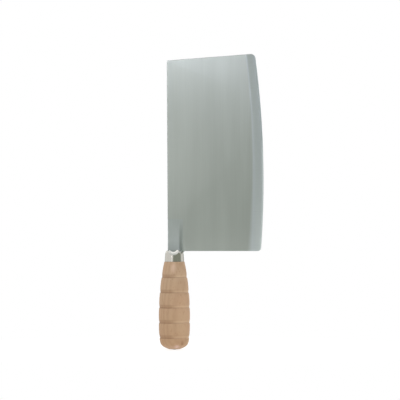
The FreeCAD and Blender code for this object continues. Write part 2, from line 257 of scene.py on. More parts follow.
neck_steel, tree = new_material("Carbon_steel_forged_ground_satin")
shader = ground_shader(tree, **NECK_GRIND)
place = add(tree, COORDINATES).outputs["Object"]
sideways, _, height = add(tree, SEPARATE, {0: place}).outputs
aside = add(tree, MATH, {0: sideways, 1: X_CORNER}, operation="SUBTRACT")
distance = add(tree, MATH, {0: aside}, operation="ABSOLUTE")
near = add(tree, MAP_RANGE, {"Value": distance, "From Min": CORNER_REACH, "From Max": 0.0},
           interpolation_type="SMOOTHSTEP")
low = add(tree, MAP_RANGE, {
    "Value": height, "From Min": Z_CORNER_TOP, "From Max": Z_FOOT, "To Max": CORNER_SHADE})
in_corner = add(tree, MATH, {0: near, 1: low}, operation="MULTIPLY")
at_foot = add(tree, MAP_RANGE, {
    "Value": height, "From Min": Z_FOOT_TOP, "From Max": Z_FOOT, "To Max": FOOT_SHADE})
# Painted shade: darker steel in the corner beside the plate and at the foot.
painted_neck_shade = add(tree, MATH, {0: in_corner, 1: at_foot}, operation="ADD", use_clamp=True)
lay_over(tree, shader, painted_neck_shade, NECK_SHADE_COLOUR)

facets = add(tree, "ShaderNodeTexVoronoi", {"Vector": place, "Scale": 1 / PEEN_FACET}, feature="SMOOTH_F1")
on_head = add(tree, MAP_RANGE, {"Value": height, "From Min": Z_PEENED + MM, "From Max": Z_PEENED})
lines = shader.inputs["Normal"].links[0].from_socket
hammered = add(tree, BUMP, {
    "Height": facets, "Strength": on_head, "Distance": PEEN_RELIEF, "Normal": lines})
tree.links.new(hammered.outputs[0], shader.inputs["Normal"])
add(tree, OUTPUT, {"Surface": shader})
nodes["neck_tang"].data.materials[0] = neck_steel
print("neck:", neck_steel.name)

# %% [markdown]
# ## The blade: one plate, five finishes
#
# The solid's outline is right, so its mesh is copied and welded, and only the bevel is worked on. A face's
# normal tells what it is: the flat sides look straight along Y, the bevel leans 2.6 degrees towards the edge,
# the hone leans ten, and the rest are the narrow edges. On the solid the bevel is flat. On the real blade the
# grinder blends it in, so it leaves the side gently and is steepest at the edge. That is a parabola with the
# same two ends.

# %% Blade: find the grinds
BEVEL_LEAN, HONE_LEAN = math.sin(math.radians(1.4)), math.sin(math.radians(6))
SIDE_LEAN = math.cos(math.radians(15))
EDGE_SIDE = 60 * MM
HONE_HALF_THICK = 0.35 * MM
WELD_DISTANCE, SLIVER = 0.01 * MM, 0.002 * MM
SIDE, SHOULDER, BEVEL, HONE, EDGE = range(5)
BLADE_STEELS = (face_steel, shoulder_steel, bevel_steel, honed_steel, edge_steel_painted_dark)


def finish_of(face):
    if abs(face.normal.y) <= SIDE_LEAN:
        return EDGE
    lean = face.normal.x if face.calc_center_median().x > EDGE_SIDE else 0.0
    if lean > HONE_LEAN:
        return HONE
    return BEVEL if lean > BEVEL_LEAN else SIDE


shape = bmesh.new()
shape.from_mesh(nodes["blade_plate"].data)
bmesh.ops.remove_doubles(shape, verts=shape.verts, dist=WELD_DISTANCE)
bmesh.ops.dissolve_degenerate(shape, edges=shape.edges, dist=SLIVER)
for face in shape.faces:
    face.material_index = finish_of(face)
    face.smooth = True
print("bevel faces:", sum(face.material_index == BEVEL for face in shape.faces))

# %% [markdown]
# The way down the bevel is measured in thickness: 0 where a point still lies on the flat side's plane, 1
# where the hone begins. The plate tapers, so that plane is read from the largest flat face. Cutting works
# edge by edge. Where an edge of the bevel crosses a level, it is split at that point, unless one of its ends
# already lies there, and connect_verts then joins the new points across each face. Then each point is set to
# the square of its share, which makes the parabola, and its share is stored for the shoulder's finish. The
# move is 0.14 mm at most, but it is what makes the border between side and bevel soft.

# %% Blade: blend the bevel
LEVELS = (0.1, 0.25, 0.4, 0.55, 0.7, SHOULDER_END)
AT_LEVEL = 0.01

flat = max((face for face in shape.faces if face.normal.y > 0), key=lambda face: face.calc_area())
flat_normal, flat_point = flat.normal.copy(), flat.verts[0].co.copy()


def half_thickness(x, z):
    fall = flat_normal.x * (x - flat_point.x) + flat_normal.z * (z - flat_point.z)
    return flat_point.y - fall / flat_normal.y


def way_down(point):
    half = half_thickness(point.x, point.z)
    return (half - abs(point.y)) / (half - HONE_HALF_THICK)


for level in LEVELS:
    cuts = []
    crossing = {edge for face in shape.faces if face.material_index == BEVEL for edge in face.edges}
    for edge in crossing:
        start, end = (way_down(vert.co) - level for vert in edge.verts)
        if start * end < 0 and min(abs(start), abs(end)) > AT_LEVEL:
            cuts.append(bmesh.utils.edge_split(edge, edge.verts[0], start / (start - end))[1])
    bmesh.ops.connect_verts(shape, verts=cuts)
bevel = [face for face in shape.faces if face.material_index == BEVEL]
for face in bevel:
    if way_down(face.calc_center_median()) < SHOULDER_END:
        face.material_index = SHOULDER
stored_way = shape.verts.layers.float.new("way_down")
for vert in {vert for face in bevel for vert in face.verts}:
    share = min(max(way_down(vert.co), 0.0), 1.0)
    half = half_thickness(vert.co.x, vert.co.z)
    vert.co.y = math.copysign(half - (half - HONE_HALF_THICK) * share ** 2, vert.co.y)
    vert[stored_way] = share
shape.normal_update()
print("bevel faces after cutting:", len(bevel))

# %% [markdown]
# Shading: the borders to the flat side, the hone and the narrow edges stay sharp, so the big flat face keeps
# its one normal and the hone its crisp line. Inside the bevel everything is smooth. The solid's own normals
# came along with the copy and no longer fit, so they are removed.

# %% Blade: mark sharp edges and make the object
SHARP = math.radians(28)

for edge in shape.edges:
    kinds = {BEVEL if face.material_index == SHOULDER else face.material_index for face in edge.link_faces}
    edge.smooth = len(kinds) == 1 and edge.calc_face_angle(math.pi) < SHARP
blade_mesh = bpy.data.meshes.new("ground_blade")
shape.to_mesh(blade_mesh)
shape.free()
if "custom_normal" in blade_mesh.attributes:
    blade_mesh.attributes.remove(blade_mesh.attributes["custom_normal"])
for steel in BLADE_STEELS:
    blade_mesh.materials.append(steel)
blade = bpy.data.objects.new("ground_blade", blade_mesh)
bpy.context.scene.collection.objects.link(blade)
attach(blade, "root")
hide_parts("blade_plate")
used = [face.material_index for face in blade_mesh.polygons]
print("blade faces by finish:", {steel.name: used.count(i) for i, steel in enumerate(BLADE_STEELS)})

# %% [markdown]
# ## The ferrule and the washer
#
# The ferrule is a turned cap of bright steel, buffed until it mirrors the studio: white tent at its sides and
# the opening in front as a dark stripe. Buffing leaves very fine rings round it. They are drawn 0.9 mm apart,
# coarser than they are, and only touch the roughness and the normal. The washer is a stamped disc of the
# same kind of steel, tumbled and not polished, so it has the same shader with rougher values.

# %% Turned steel
BUFFING_RINGS = (40 * MM, 40 * MM, 0.9 * MM)
RING_STRENGTH = 0.4
CLOUD_SIZE = 6 * MM
TUMBLED = {"dark": "#b4b4b0", "light": "#c6c6c2", "rough": (0.3, 0.42), "relief_height": 0.02 * MM}
BUFFED = {"dark": "#bfbcb4", "light": "#c8c5bd", "rough": (0.1, 0.18), "relief_height": 0.006 * MM}


def turned_shader(tree, dark, light, rough, relief_height):
    place = add(tree, COORDINATES).outputs["Object"]
    rings = streaks(tree, place, BUFFING_RINGS, Detail=2.0)
    cloud = add(tree, NOISE, {"Vector": place, "Scale": 1 / CLOUD_SIZE, "Detail": 2.0})
    tone = add(tree, MIX, {"Factor": cloud, 6: linear(dark), 7: linear(light)}, data_type="RGBA")
    roughness = add(tree, MAP_RANGE, {"Value": rings, **NOISE_SPAN, "To Min": rough[0], "To Max": rough[1]})
    relief = add(tree, BUMP, {"Height": rings, "Strength": RING_STRENGTH, "Distance": relief_height})
    return add(tree, PRINCIPLED, {
        "Base Color": tone.outputs[2], "Metallic": 1.0, "Roughness": roughness, "Normal": relief})


washer_steel, tree = new_material("Mild_steel_tumbled")
add(tree, OUTPUT, {"Surface": turned_shader(tree, **TUMBLED)})
nodes["butt_washer"].data.materials[0] = washer_steel
print("washer:", washer_steel.name)

# %% [markdown]
# Two round hollows are ground into the ferrule's top, front and back, where the neck goes in. The wheel that
# grinds them leaves a matt surface beside the mirror, and the hollows are painted nearly white: a painted
# highlight for the bright crescent that they catch. A point belongs to a hollow if it is less than the
# wheel's radius from the wheel's centre. Taking Y without its sign folds the front onto the back, so one
# distance serves both.

# %% Ferrule
HOLLOW_AT, HOLLOW_RADIUS = (-1.15 * MM, 11.3 * MM, 61.76 * MM), 8.0 * MM
HOLLOW_MARGIN = 0.05 * MM
HOLLOW_PAINTED_HIGHLIGHT, HOLLOW_ROUGH = "#f4f2ec", 0.42

ferrule_steel, tree = new_material("Stainless_steel_buffed")
shader = turned_shader(tree, **BUFFED)
sideways, depth, height = add(tree, SEPARATE, {0: add(tree, COORDINATES).outputs["Object"]}).outputs
either_side = add(tree, MATH, {0: depth}, operation="ABSOLUTE")
folded = add(tree, COMBINE, {"X": sideways, "Y": either_side, "Z": height})
from_wheel = add(tree, VECTOR_MATH, {0: folded, 1: HOLLOW_AT}, operation="DISTANCE").outputs["Value"]
hollow = add(tree, MATH, {0: from_wheel, 1: HOLLOW_RADIUS + HOLLOW_MARGIN}, operation="LESS_THAN")
# The hollows are painted nearly white: a painted highlight.
lay_over(tree, shader, hollow, HOLLOW_PAINTED_HIGHLIGHT)
polish = shader.inputs["Roughness"].links[0].from_socket
rough = add(tree, MIX, {"Factor": hollow, 2: polish, 3: HOLLOW_ROUGH}, data_type="FLOAT")
tree.links.new(rough.outputs[0], shader.inputs["Roughness"])
add(tree, OUTPUT, {"Surface": shader})
nodes["ferrule"].data.materials[0] = ferrule_steel
print("ferrule:", ferrule_steel.name, "with hollows of", HOLLOW_RADIUS / MM, "mm radius")

# %% [markdown]
# ## The cement
#
# The tang is set in pitch, melted and poured into the bore. No view shows it in the finished knife, but it
# is a real piece, so it gets its own finish: nearly black brown, with the broad cloudiness of cooled pitch.

# %% Cement
PITCH_CLOUD = 5 * MM
PITCH_DARK, PITCH_LIGHT = "#2a1d14", "#4a3626"
PITCH_ROUGH = (0.35, 0.6)

pitch_cement, tree = new_material("Pitch_cement_poured")
place = add(tree, COORDINATES).outputs["Object"]
cloud = add(tree, NOISE, {"Vector": place, "Scale": 1 / PITCH_CLOUD, "Detail": 3.0})
tone = add(tree, MIX, {"Factor": cloud, 6: linear(PITCH_DARK), 7: linear(PITCH_LIGHT)}, data_type="RGBA")
rough = add(tree, MAP_RANGE, {"Value": cloud, "To Min": PITCH_ROUGH[0], "To Max": PITCH_ROUGH[1]})
shader = add(tree, PRINCIPLED, {"Base Color": tone.outputs[2], "Roughness": rough})
add(tree, OUTPUT, {"Surface": shader})
nodes["tang_cement"].data.materials[0] = pitch_cement
print("cement:", pitch_cement.name)

# %% [markdown]
# ## The wood
#
# The handle is beech, turned and sanded, with nothing but a wipe of oil. Beech is a pale pinkish brown with
# quiet growth rings, short dark flecks where the rays come to the surface, and fine pores along the grain.
# Wood is a solid pattern, so it reads Object coordinates: the rings are cylinders about a pith that lies
# outside the handle, and turning the handle cuts through them. That gives long streaks on the sides and
# arcs on the butt without any unwrapping. Pores are about 0.1 mm wide and are drawn as 0.9 mm fibres, so
# that they show.

# %% Wood: rings, fibres and flecks
RING_WIDTH, RING_WANDER, RING_LEAN = 3.4 * MM, 2.2, 0.12
PITH = (-21 * MM, 34 * MM, 0.0)
# At scale 1 the rings of a Wave Texture are this far apart.
WAVE_UNIT = math.pi / 10
FIBRE_SIZE = (0.9 * MM, 0.9 * MM, 24 * MM)
FLECK_SIZE = (1.1 * MM, 1.1 * MM, 4.5 * MM)
FLECK_SPAN = {"From Min": 0.6, "From Max": 0.7, "To Max": 0.35}
PATCH_SIZE = 22 * MM

beech, tree = new_material("Beech_turned_sanded_oiled")
place = add(tree, COORDINATES).outputs["Object"]
from_pith = add(tree, MAPPING, {
    "Vector": place, "Location": [-p for p in PITH], "Scale": (1, 1, RING_LEAN)})
rings = add(tree, "ShaderNodeTexWave", {
    "Vector": from_pith, "Scale": WAVE_UNIT / RING_WIDTH, "Distortion": RING_WANDER, "Detail": 2.0,
    "Detail Scale": 1.0}, wave_type="RINGS", rings_direction="Z", wave_profile="SIN")
fibres = streaks(tree, place, FIBRE_SIZE, Detail=3.0, Roughness=0.6)
flecks = add(tree, MAP_RANGE, {"Value": streaks(tree, place, FLECK_SIZE, Detail=1.0), **FLECK_SPAN})
patches = add(tree, NOISE, {"Vector": place, "Scale": 1 / PATCH_SIZE, "Detail": 1.0})
print("wood:", beech.name, "with rings", RING_WIDTH / MM, "mm wide")

# %% [markdown]
# Rings and fibres mix two close browns. Broad patches make some of it pinker, and the lower half is painted
# a little darker and yellower than the top: painted shade. Both are tints that the brown is multiplied by.

# %% Wood: the body colour
FIBRE_SHARE = 0.45
BEECH_DARK, BEECH_PALE = "#b0987d", "#bca589"
PATCH_TINTS, LOWER_SHADE_TINTS = ("#ffffff", "#fff2ee"), ("#fffcfc", "#f4eae0")
Z_UNSHADED, Z_SHADED = 45 * MM, -45 * MM

grain = add(tree, MIX, {"Factor": FIBRE_SHARE, 2: rings, 3: fibres}, data_type="FLOAT")
wood = add(tree, MIX, {"Factor": grain, 6: linear(BEECH_DARK), 7: linear(BEECH_PALE)}, data_type="RGBA")
sideways, _, upwards = add(tree, SEPARATE, {0: place}).outputs
# The lower half is painted darker and yellower: painted shade.
lower_shade = add(tree, MAP_RANGE, {"Value": upwards, "From Min": Z_UNSHADED, "From Max": Z_SHADED})
for share, (least, most) in ((patches, PATCH_TINTS), (lower_shade, LOWER_SHADE_TINTS)):
    tint = add(tree, MIX, {"Factor": share, 6: linear(least), 7: linear(most)}, data_type="RGBA")
    wood = add(tree, MIX, {"Factor": 1.0, 6: wood.outputs[2], 7: tint.outputs[2]}, data_type="RGBA",
               blend_type="MULTIPLY")
print("body colour: two browns, patches and painted_shade_below")

# %% [markdown]
# Sanded, oiled wood is matt, with a faint grain to the touch: fibres move the roughness and the bump, and the
# specular level is half the usual, because the pores swallow part of the gloss. All other colours are thin
# layers over this shader's, put on as the hone's was. The flecks are the first.

# %% Wood: the shader and the flecks
SANDED_ROUGH = {"To Min": 0.6, "To Max": 0.74}
FIBRE_RELIEF, FIBRE_STRENGTH = 0.05 * MM, 0.5
HALF_SPECULAR = 0.25
FLECK_COLOUR = "#98704f"

rough = add(tree, MAP_RANGE, {"Value": fibres, **NOISE_SPAN, **SANDED_ROUGH})
relief = add(tree, BUMP, {"Height": fibres, "Strength": FIBRE_STRENGTH, "Distance": FIBRE_RELIEF})
shader = add(tree, PRINCIPLED, {
    "Base Color": wood.outputs[2], "Roughness": rough, "Normal": relief,
    "Specular IOR Level": HALF_SPECULAR})
lay_over(tree, shader, flecks, FLECK_COLOUR)
print("flecks:", FLECK_COLOUR)

# %% [markdown]
# The grooves are painted darker on one side and paler on the other: painted shade and a painted highlight.
# On the left the ramp of each groove is painted darker, painted shade. On the right the lip beside each
# crease is painted paler than the rest, a painted highlight. The crease itself is a painted dark line all
# round, painted shade. The handle's tree writes how deep each point lies in a groove, from 0 to 1. Each layer
# begins at one depth and is full at another.

# %% Wood: the grooves
X_LIT_SIDE, X_SHADED_SIDE = 4 * MM, -5 * MM
SHADED_RAMP = ("#8a694e", {"From Min": 0.0, "From Max": 0.2, "To Max": 0.36})
HIGHLIT_LIP = ("#cdb295", {"From Min": 0.2, "From Max": 0.6, "To Max": 0.3})
SHADED_CREASE = ("#7d5d43", {"From Min": 0.8, "From Max": 0.95, "To Max": 0.4})
ALL_ROUND = 1.0

groove = add(tree, ATTRIBUTE, attribute_name="groove").outputs["Fac"]
left_share = add(tree, MAP_RANGE, {"Value": sideways, "From Min": X_LIT_SIDE, "From Max": X_SHADED_SIDE},
              interpolation_type="SMOOTHSTEP")
right_share = add(tree, MATH, {0: 1.0, 1: left_share}, operation="SUBTRACT")
# Painted shade on the left ramps and in the creases, a painted highlight on the right lips.
for (colour, depths), side in (
        (SHADED_RAMP, left_share), (HIGHLIT_LIP, right_share), (SHADED_CREASE, ALL_ROUND)):
    deep = add(tree, MAP_RANGE, {"Value": groove, **depths})
    share = add(tree, MATH, {0: deep, 1: side}, operation="MULTIPLY")
    lay_over(tree, shader, share, colour)
print("grooves: painted_shade left, painted_highlight right, dark in the crease")

# %% [markdown]
# Three marks are listed: two painted highlights, a pale patch on the top bead and a pale patch on the butt,
# and a dark bruise beside the second. A mark is a distance from a point, stretched along the grain, with a
# border that the fibres make ragged, so that it doesn't look like a disc.

# %% Wood: a bruise and two painted highlights
MARK_STRETCH = 0.5
MARK_RAGGED, MARK_OUTSIDE, MARK_INSIDE = 0.8, 1.4, 0.5
TOP_BEAD_HIGHLIGHT = ((-1.0 * MM, -11.5 * MM, 40 * MM), 4.5 * MM, "#d8bba6", 0.5)
BUTT_HIGHLIGHT = ((2.6 * MM, -11.0 * MM, -42.5 * MM), 4.0 * MM, "#dfbfbc", 0.6)
DARK_BRUISE = ((8.1 * MM, -11.5 * MM, -38.8 * MM), 2.6 * MM, "#7d5230", 0.55)
BRUISE_AND_HIGHLIGHTS = (TOP_BEAD_HIGHLIGHT, BUTT_HIGHLIGHT, DARK_BRUISE)

# Two of these marks are painted highlights, the third a bruise.
for at, reach, colour, strength in BRUISE_AND_HIGHLIGHTS:
    aside = add(tree, VECTOR_MATH, {0: place, 1: at}, operation="SUBTRACT")
    along_grain = add(tree, VECTOR_MATH, {0: aside, 1: (1, 1, MARK_STRETCH)}, operation="MULTIPLY")
    distance = add(tree, VECTOR_MATH, {0: along_grain}, operation="LENGTH").outputs["Value"]
    ragged = add(tree, MATH, {0: fibres, 1: MARK_RAGGED * reach, 2: distance}, operation="MULTIPLY_ADD")
    spot = add(tree, MAP_RANGE, {
        "Value": ragged, "From Min": MARK_OUTSIDE * reach, "From Max": MARK_INSIDE * reach,
        "To Max": strength}, interpolation_type="SMOOTHSTEP")
    lay_over(tree, shader, spot, colour)
print("marks of use:", len(BRUISE_AND_HIGHLIGHTS))

# %% [markdown]
# The butt shows end grain, which drinks more oil and looks warmer and more even, so faces that look down
# get some of that colour. It is also paler than the side, a painted highlight. It is the last layer.

# %% Wood: end grain and a painted highlight
END_GRAIN_AND_HIGHLIGHT_COLOUR = "#c2a48e"
# A face that looks straight down has a normal of -1 along Z.
END_GRAIN_AND_HIGHLIGHT_SPAN = {"From Min": -0.55, "From Max": -0.95, "To Max": 0.5}

facing = add(tree, SEPARATE, {0: add(tree, "ShaderNodeNewGeometry").outputs["Normal"]}).outputs["Z"]
# Faces that look down are painted paler: partly end grain, partly a painted highlight.
end = add(tree, MAP_RANGE, {"Value": facing, **END_GRAIN_AND_HIGHLIGHT_SPAN})
lay_over(tree, shader, end, END_GRAIN_AND_HIGHLIGHT_COLOUR)
add(tree, OUTPUT, {"Surface": shader})
print("wood nodes:", len(tree.nodes))

# %% [markdown]
# ## The handle: a rule, so Geometry Nodes
#
# A turned handle is a rule: a radius for each depth below the shoulder, carried once round. It could be
# drawn as a profile and spun, but then each ring would be a set of points to drag. As a tree, the swell, the
# five grooves and the rounded butt are formulas with named sizes, so one number moves all the grooves. The
# tree starts with a flat grid. Its columns become the way round, and its rows run down the outside and back
# up through the bore, so that rolling it up gives a closed shell with a real hole for the tang.

# %% Handle: the tree and its named sizes
HANDLE_SIZES_MM = {
    "Length": 94.0, "Top Radius": 10.7, "Belly Radius": 16.5, "Butt Radius": 14.6, "Belly Depth": 62.0,
    "Shoulder Round": 0.8, "Butt Round": 8.3, "Butt Dome": 22.0,
    "First Groove": 16.8, "Last Groove": 12.8, "Groove Depth": 0.6, "Groove Ramp": 3.6, "Groove Step": 0.8,
    "Bead Swell": 0.15, "Unevenness": 0.05, "Unevenness Size": 9.0,
    "Seat Radius": 5.7, "Seat Height": 2.8, "Tail Hole Radius": 2.7, "Bore Radius": 5.3, "Bore Floor": 12.0,
    "Tenon Radius": 8.4, "Tenon Height": 5.6,
}
HANDLE_COUNTS = {"Groove Count": 5, "Rows": 376, "Columns": 128}
HANDLE_FORM = {"Swell Power": 2.2, "Seed": 4.0}

tree = bpy.data.node_groups.new("Turned_handle", "GeometryNodeTree")
tree.interface.new_socket("Mesh", in_out="OUTPUT", socket_type="NodeSocketGeometry")
named = [("NodeSocketFloat", name, value * MM) for name, value in HANDLE_SIZES_MM.items()]
named += [("NodeSocketInt", name, value) for name, value in HANDLE_COUNTS.items()]
named += [("NodeSocketFloat", name, value) for name, value in HANDLE_FORM.items()]
named.append(("NodeSocketMaterial", "Wood", beech))
values = {}
for kind, name, value in named:
    socket = tree.interface.new_socket(name, in_out="INPUT", socket_type=kind)
    values[socket.identifier] = value
size = add(tree, "NodeGroupInput").outputs
print("handle tree:", len(values), "named inputs")

# %% [markdown]
# The grid has a row for each step down the outside, and eight more for the corners of the bore and the
# tenon. A row's number gives its depth. Depth runs from the shoulder to where the domed butt meets the
# washer's seat, which is a little short of the handle's length. How far an arc reaches is a leg of a right
# triangle whose long side is the arc's radius, and one function adds the nodes for that.

# %% Handle: the grid and each row's depth
BORE_CORNERS = 8


def other_leg(tree, long_side, leg):
    long_squared = add(tree, MATH, {0: long_side, 1: long_side}, operation="MULTIPLY")
    leg_squared = add(tree, MATH, {0: leg, 1: leg}, operation="MULTIPLY")
    rest = add(tree, MATH, {0: long_squared, 1: leg_squared}, operation="SUBTRACT")
    return add(tree, MATH, {0: rest}, operation="SQRT")


all_rows = add(tree, MATH, {0: size["Rows"], 1: BORE_CORNERS}, operation="ADD")
around = add(tree, MATH, {0: size["Columns"], 1: 1}, operation="ADD")
grid = add(tree, "GeometryNodeMeshGrid", {"Vertices X": around, "Vertices Y": all_rows})
across = add(tree, SEPARATE, {0: grid.outputs["UV Map"]}).outputs
last_row = add(tree, MATH, {0: all_rows, 1: 1}, operation="SUBTRACT")
row_place = add(tree, MATH, {0: across["Y"], 1: last_row}, operation="MULTIPLY")
row = add(tree, MATH, {0: row_place}, operation="ROUND")
last_outside = add(tree, MATH, {0: size["Rows"], 1: 1}, operation="SUBTRACT")

seat_reach = other_leg(tree, size["Butt Dome"], size["Seat Radius"])
dome_depth = add(tree, MATH, {0: size["Length"], 1: size["Butt Dome"]}, operation="SUBTRACT")
seat_depth = add(tree, MATH, {0: dome_depth, 1: seat_reach}, operation="ADD")
depth = add(tree, MAP_RANGE, {
    "Value": row, "From Min": 0.0, "From Max": last_outside, "To Min": 0.0, "To Max": seat_depth})
print("rows:", HANDLE_COUNTS["Rows"], "outside and", BORE_CORNERS, "inside")

# %% [markdown]
# The swell: from the shoulder the radius flares to the belly by a power law, and past the belly it falls off
# as a square. Map Range nodes turn a depth into a share from 0 to 1 and stop at its ends, which saves a
# switch between the two halves. The fall is a function, because the butt's round asks for it again.

# %% Handle: the swell
above = add(tree, MAP_RANGE, {"Value": depth, "From Max": size["Belly Depth"], "To Min": 1.0, "To Max": 0.0})
flare = add(tree, MATH, {0: above, 1: size["Swell Power"]}, operation="POWER")
top_less = add(tree, MATH, {0: size["Top Radius"], 1: size["Belly Radius"]}, operation="SUBTRACT")
butt_less = add(tree, MATH, {0: size["Butt Radius"], 1: size["Belly Radius"]}, operation="SUBTRACT")
flared = add(tree, MATH, {0: flare, 1: top_less, 2: size["Belly Radius"]}, operation="MULTIPLY_ADD")


def past_belly(tree, depth, radius):
    share = add(tree, MAP_RANGE, {
        "Value": depth, "From Min": size["Belly Depth"], "From Max": size["Length"]})
    squared = add(tree, MATH, {0: share, 1: share}, operation="MULTIPLY")
    return add(tree, MATH, {0: squared, 1: butt_less, 2: radius}, operation="MULTIPLY_ADD")


swell = past_belly(tree, depth, flared)
print("swell from", HANDLE_SIZES_MM["Top Radius"], "to", HANDLE_SIZES_MM["Belly Radius"], "mm")

# %% [markdown]
# The grooves: the nearest crease is found by dividing by the pitch and rounding, so all five share one
# formula. Each groove is a long ramp down to the crease and a short step back out. Two clamped shares, one
# for each side, are multiplied, and their product is 1 in the crease and 0 on the beads. Between grooves the
# bead swells a little: a share times its rest is an arch a quarter high, so it is taken four times.

# %% Handle: grooves and beads
QUARTERS = 4.0

span = add(tree, MATH, {0: size["Length"], 1: size["First Groove"]}, operation="SUBTRACT")
groove_span = add(tree, MATH, {0: span, 1: size["Last Groove"]}, operation="SUBTRACT")
gaps = add(tree, MATH, {0: size["Groove Count"], 1: 1.0}, operation="SUBTRACT")
pitch = add(tree, MATH, {0: groove_span, 1: gaps}, operation="DIVIDE")
past_first = add(tree, MATH, {0: depth, 1: size["First Groove"]}, operation="SUBTRACT")
in_pitches = add(tree, MATH, {0: past_first, 1: pitch}, operation="DIVIDE")
rounded = add(tree, MATH, {0: in_pitches}, operation="ROUND")
nearest = add(tree, "ShaderNodeClamp", {"Value": rounded, "Min": 0.0, "Max": gaps})
crease = add(tree, MATH, {0: nearest, 1: pitch}, operation="MULTIPLY")
off_crease = add(tree, MATH, {0: past_first, 1: crease}, operation="SUBTRACT")
ramp_start = add(tree, MATH, {0: size["Groove Ramp"], 1: -1.0}, operation="MULTIPLY")
ramp = add(tree, MAP_RANGE, {"Value": off_crease, "From Min": ramp_start, "From Max": 0.0})
step = add(tree, MAP_RANGE, {
    "Value": off_crease, "From Max": size["Groove Step"], "To Min": 1.0, "To Max": 0.0})
sunk_share = add(tree, MATH, {0: ramp, 1: step}, operation="MULTIPLY")
sunk = add(tree, MATH, {0: sunk_share, 1: size["Groove Depth"]}, operation="MULTIPLY")

past_step = add(tree, MATH, {0: past_first, 1: size["Groove Step"]}, operation="SUBTRACT")
in_bead = add(tree, MATH, {0: past_step, 1: pitch}, operation="FLOORED_MODULO")
groove_width = add(tree, MATH, {0: size["Groove Ramp"], 1: size["Groove Step"]}, operation="ADD")
bead_length = add(tree, MATH, {0: pitch, 1: groove_width}, operation="SUBTRACT")
bead_share = add(tree, MAP_RANGE, {"Value": in_bead, "From Max": bead_length})
bead_rest = add(tree, MATH, {0: 1.0, 1: bead_share}, operation="SUBTRACT")
bead_arch = add(tree, MATH, {0: bead_share, 1: bead_rest}, operation="MULTIPLY")
bead_height = add(tree, MATH, {0: size["Bead Swell"], 1: QUARTERS}, operation="MULTIPLY")
cut = add(tree, MATH, {0: swell, 1: sunk}, operation="SUBTRACT")
beaded = add(tree, MATH, {0: bead_arch, 1: bead_height, 2: cut}, operation="MULTIPLY_ADD")
print("grooves:", HANDLE_COUNTS["Groove Count"])

# %% [markdown]
# The shoulder's small round and the butt: a round of 8.3 mm runs into a shallow dome of 22 mm, both as arcs.
# Two switches choose between the side, the round and the dome.

# %% Handle: shoulder and butt
SWITCH = "GeometryNodeSwitch"

short = add(tree, MATH, {0: size["Shoulder Round"], 1: depth}, operation="SUBTRACT")
inside = add(tree, MATH, {0: short, 1: 0.0}, operation="MAXIMUM")
arc = other_leg(tree, size["Shoulder Round"], inside)
eased = add(tree, MATH, {0: size["Shoulder Round"], 1: arc}, operation="SUBTRACT")
side = add(tree, MATH, {0: beaded, 1: eased}, operation="SUBTRACT")

round_depth = add(tree, MATH, {0: size["Length"], 1: size["Butt Round"]}, operation="SUBTRACT")
round_radius = past_belly(tree, round_depth, size["Belly Radius"])
over = add(tree, MATH, {0: round_radius, 1: size["Butt Round"]}, operation="SUBTRACT")
gap = add(tree, MATH, {0: size["Butt Dome"], 1: size["Butt Round"]}, operation="SUBTRACT")
rise = other_leg(tree, gap, over)
round_start = add(tree, MATH, {0: dome_depth, 1: rise}, operation="ADD")
rise_share = add(tree, MATH, {0: rise, 1: gap}, operation="DIVIDE")
dome_start = add(tree, MATH, {0: rise_share, 1: size["Butt Dome"], 2: dome_depth}, operation="MULTIPLY_ADD")

past_round = add(tree, MATH, {0: depth, 1: round_start}, operation="SUBTRACT")
reach = other_leg(tree, size["Butt Round"], past_round)
round_side = add(tree, MATH, {0: over, 1: reach}, operation="ADD")
past_dome = add(tree, MATH, {0: depth, 1: dome_depth}, operation="SUBTRACT")
dome_side = other_leg(tree, size["Butt Dome"], past_dome)
on_round = add(tree, MATH, {0: depth, 1: round_start}, operation="GREATER_THAN")
on_dome = add(tree, MATH, {0: depth, 1: dome_start}, operation="GREATER_THAN")
butt = add(tree, SWITCH, {"Switch": on_dome, "False": round_side, "True": dome_side}, input_type="FLOAT")
outside = add(tree, SWITCH, {"Switch": on_round, "False": side, "True": butt}, input_type="FLOAT")
print("butt round", HANDLE_SIZES_MM["Butt Round"], "mm, dome", HANDLE_SIZES_MM["Butt Dome"], "mm")

# %% [markdown]
# The way back up: from the washer's seat through the tail's hole and the tang's bore to the tenon, then down
# to the shoulder, where the last row lands on the first and is merged with it. An Index Switch lists the
# corners' radii and another their heights. Heights are from the middle of the grip.

# %% Handle: the bore
half_length = add(tree, MATH, {0: size["Length"], 1: 0.5}, operation="MULTIPLY")
butt_height = add(tree, MATH, {0: half_length, 1: -1.0}, operation="MULTIPLY")
seat_height = add(tree, MATH, {0: butt_height, 1: size["Seat Height"]}, operation="ADD")
floor_height = add(tree, MATH, {0: butt_height, 1: size["Bore Floor"]}, operation="ADD")
tenon_height = add(tree, MATH, {0: half_length, 1: size["Tenon Height"]}, operation="ADD")
shoulder = add(tree, MATH, {0: size["Top Radius"], 1: size["Shoulder Round"]}, operation="SUBTRACT")
seat, hole, bore, tenon = (size[f"{name} Radius"] for name in ("Seat", "Tail Hole", "Bore", "Tenon"))
corner_radii = [seat, hole, hole, bore, bore, tenon, tenon, shoulder.outputs[0]]
corner_heights = [level.outputs[0] for level in (
    seat_height, seat_height, floor_height, floor_height,
    tenon_height, tenon_height, half_length, half_length)]
corner = add(tree, MATH, {0: row, 1: size["Rows"]}, operation="SUBTRACT")
in_bore = add(tree, MATH, {0: row, 1: last_outside}, operation="GREATER_THAN")
outside_height = add(tree, MATH, {0: half_length, 1: depth}, operation="SUBTRACT")
chosen = []
